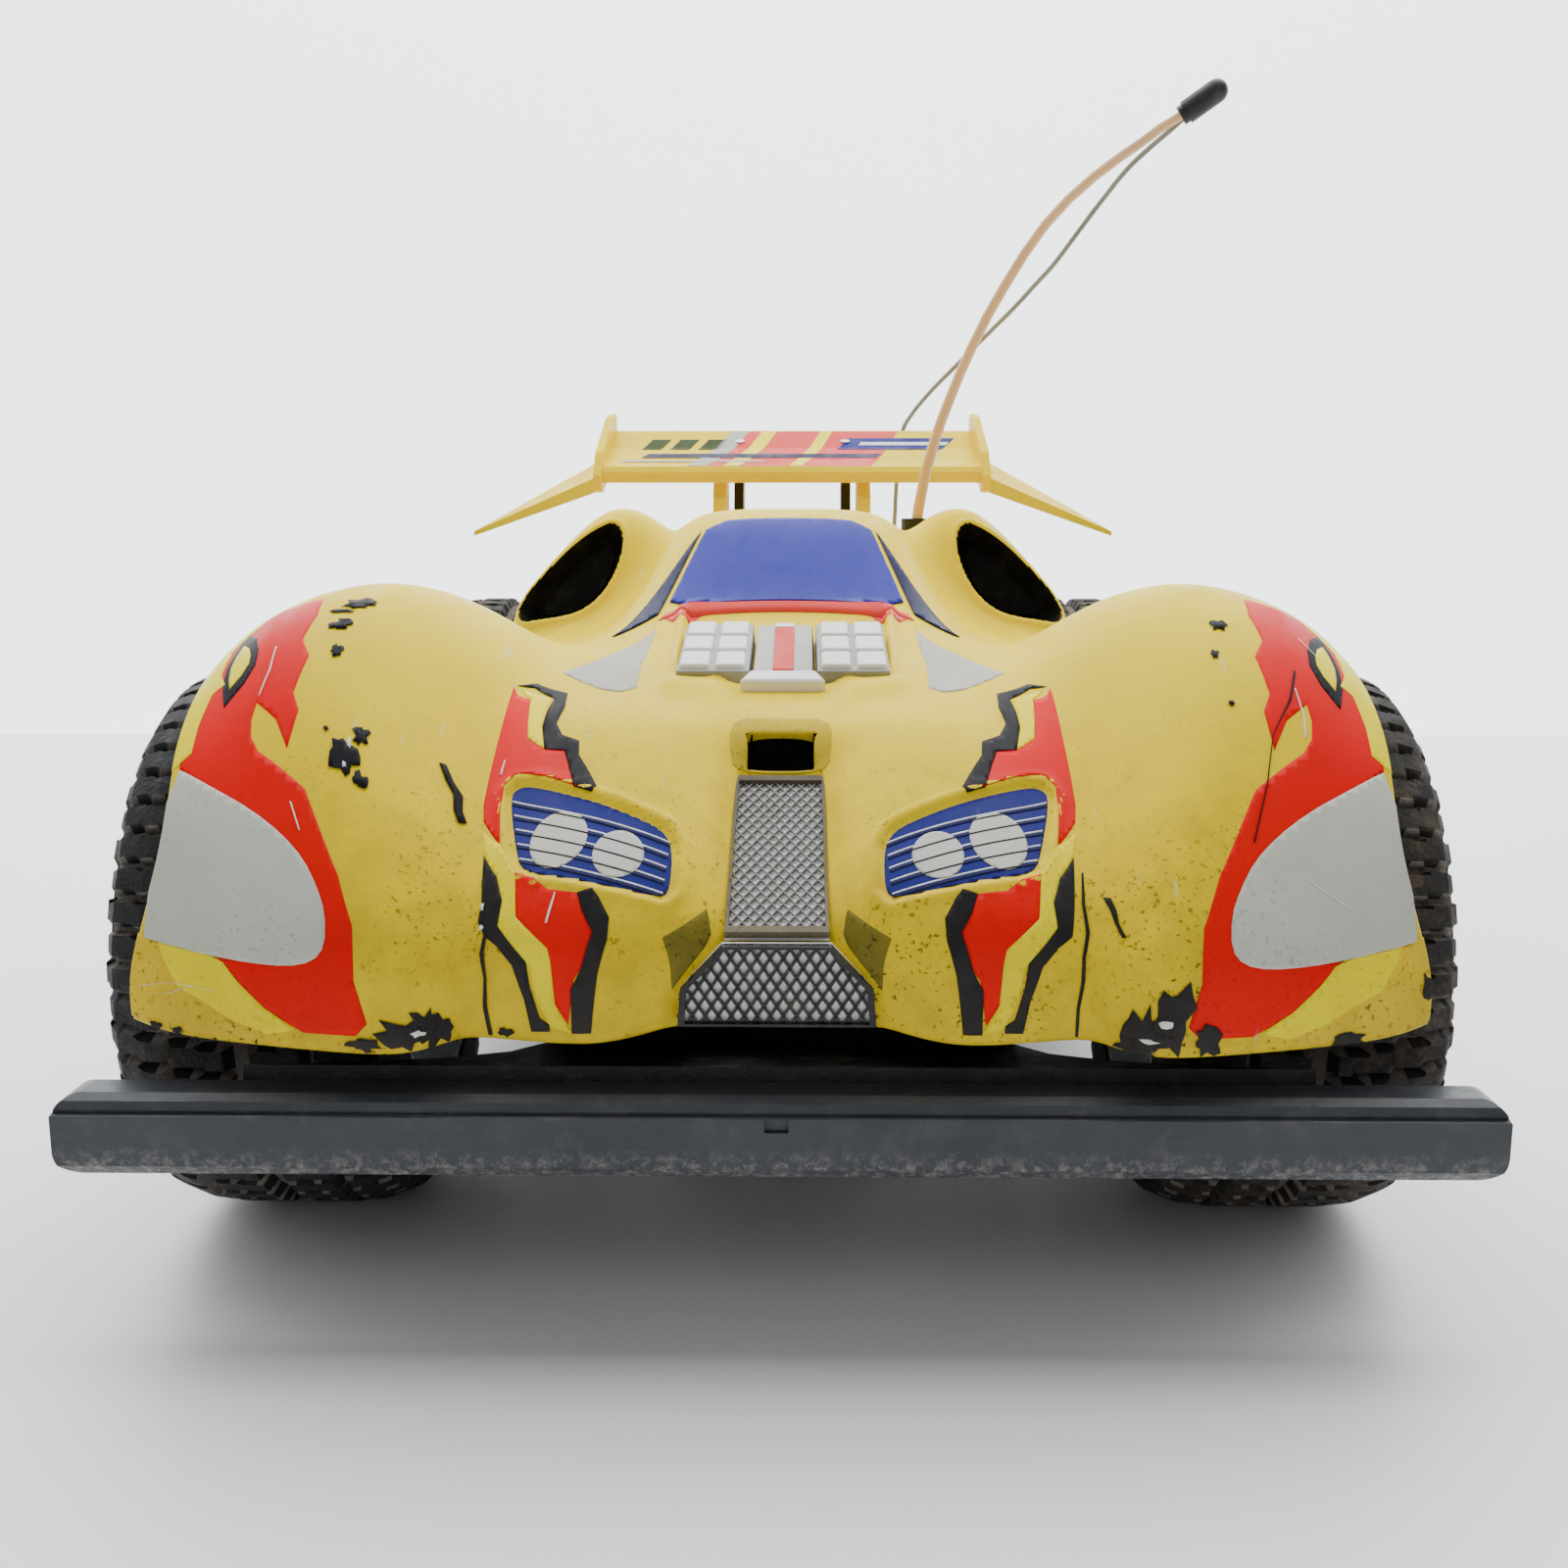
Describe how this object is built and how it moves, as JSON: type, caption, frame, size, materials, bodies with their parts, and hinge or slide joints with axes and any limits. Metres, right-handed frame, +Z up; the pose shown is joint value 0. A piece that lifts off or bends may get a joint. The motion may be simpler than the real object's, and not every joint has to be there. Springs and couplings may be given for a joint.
{
  "type": "radio-controlled drift car",
  "caption": "Radio-controlled toy drift car with a moulded body shell, front bumper, steered front wheels, driven rear axle, rear wing and whip antenna.",
  "frame": {"origin": "centre of the car's footprint on the ground, without the antenna wire", "axes": "+Z up, the nose points to -Y, +X is the right side as seen when facing the nose"},
  "size_m": [0.216, 0.322, 0.2298],
  "materials": {
    "shell_yellow": "glossy, worn",
    "black_plastic": "moulded satin",
    "bumper_grey": "scuffed satin",
    "grille_black": "printed mesh",
    "engine_grey": "satin",
    "engine_white": "satin",
    "windscreen_blue": "glossy film",
    "steel": "brushed",
    "tyre_black": "dusty rubber",
    "rim_silver": "silver paint",
    "brass": "machined",
    "nylon_white": "moulded",
    "board_green": "solder mask",
    "battery_blue": "shrink wrap",
    "rod_cream": "smooth tube",
    "wire_grey": "insulated wire"
  },
  "bodies": {
    "chassis": {"chassis_tub": "black_plastic", "chassis_deck": "black_plastic", "front_bulkhead": "black_plastic", "arms_l": "bumper_grey", "arms_r": "bumper_grey", "kingpins": "steel", "bumper_support": "black_plastic", "front_bumper": "bumper_grey", "steering_servo": "black_plastic", "battery_pack": "battery_blue", "receiver_board": "board_green", "motor": "steel", "gearbox_case": "bumper_grey", "rear_uprights": "black_plastic", "axle_bushes": "brass", "body_posts": "black_plastic", "door_rails": "black_plastic", "rear_valance": "black_plastic", "body_shell": "shell_yellow", "grille_lower": "grille_black", "grille_upper": "grille_black", "hood_vent": "black_plastic", "engine_block": "engine_grey", "engine_heads": "engine_white", "windscreen": "windscreen_blue", "side_window_l": "windscreen_blue", "side_window_r": "windscreen_blue", "pod_mesh_l": "black_plastic", "pod_mesh_r": "black_plastic", "spoiler_wing": "shell_yellow", "winglet_l": "shell_yellow", "winglet_r": "shell_yellow", "wing_posts": "shell_yellow", "wing_stays": "black_plastic", "wing_screws": "steel", "antenna_socket": "black_plastic", "antenna_rod": "rod_cream", "antenna_cap": "black_plastic", "antenna_wire": "wire_grey"},
    "knuckle_left": {"knuckle_l": "black_plastic", "stub_nut_l": "steel"},
    "knuckle_right": {"knuckle_r": "black_plastic", "stub_nut_r": "steel"},
    "wheel_front_left": {"rim_fl": "rim_silver", "tyre_fl": "tyre_black"},
    "wheel_front_right": {"rim_fr": "rim_silver", "tyre_fr": "tyre_black"},
    "steering_link": {"steering_bar": "bumper_grey"},
    "servo_output": {"servo_horn": "bumper_grey"},
    "rear_drive": {"rear_axle": "steel", "spur_gear": "nylon_white", "rear_nuts": "steel", "rim_rl": "rim_silver", "tyre_rl": "tyre_black", "rim_rr": "rim_silver", "tyre_rr": "tyre_black"},
    "pinion": {"motor_pinion": "brass"},
    "switch": {"power_switch": "black_plastic"},
    "door": {"battery_door": "black_plastic"}
  },
  "joints": [
    {"name": "steer_left", "type": "hinge", "parent": "chassis", "child": "knuckle_left", "pos_m": [-0.072, -0.0965, 0.0495], "axis": [0, 0, 1], "range_deg": [-12, 12]},
    {"name": "steer_right", "type": "hinge", "parent": "chassis", "child": "knuckle_right", "pos_m": [0.072, -0.0965, 0.0495], "axis": [0, 0, 1], "range_deg": [-12, 12]},
    {"name": "steer_link", "type": "slide", "parent": "chassis", "child": "steering_link", "axis": [1, 0, 0], "range_m": [-0.0036, 0.0036]},
    {"name": "servo_turn", "type": "hinge", "parent": "chassis", "child": "servo_output", "pos_m": [0, -0.062, 0.0495], "axis": [0, 0, 1], "range_deg": [-11, 11]},
    {"name": "spin_front_left", "type": "hinge", "parent": "knuckle_left", "child": "wheel_front_left", "pos_m": [-0.0915, -0.0965, 0.0495], "axis": [1, 0, 0], "continuous": true},
    {"name": "spin_front_right", "type": "hinge", "parent": "knuckle_right", "child": "wheel_front_right", "pos_m": [0.0915, -0.0965, 0.0495], "axis": [1, 0, 0], "continuous": true},
    {"name": "spin_rear", "type": "hinge", "parent": "chassis", "child": "rear_drive", "pos_m": [0, 0.1115, 0.0495], "axis": [1, 0, 0], "continuous": true},
    {"name": "spin_pinion", "type": "hinge", "parent": "chassis", "child": "pinion", "pos_m": [0, 0.0898, 0.0495], "axis": [1, 0, 0], "continuous": true},
    {"name": "switch_slide", "type": "slide", "parent": "chassis", "child": "switch", "axis": [0, 1, 0], "range_m": [0, 0.006]},
    {"name": "door_slide", "type": "slide", "parent": "chassis", "child": "door", "axis": [0, 1, 0], "range_m": [0, 0.015]}
  ],
  "couplings": [
    {"joint": "steer_right", "follows": "steer_left", "ratio": 1},
    {"joint": "steer_link", "follows": "steer_left", "m_per_rad": -0.016},
    {"joint": "servo_turn", "follows": "steer_left", "ratio": -0.86486},
    {"joint": "spin_pinion", "follows": "spin_rear", "ratio": -3.5}
  ]
}
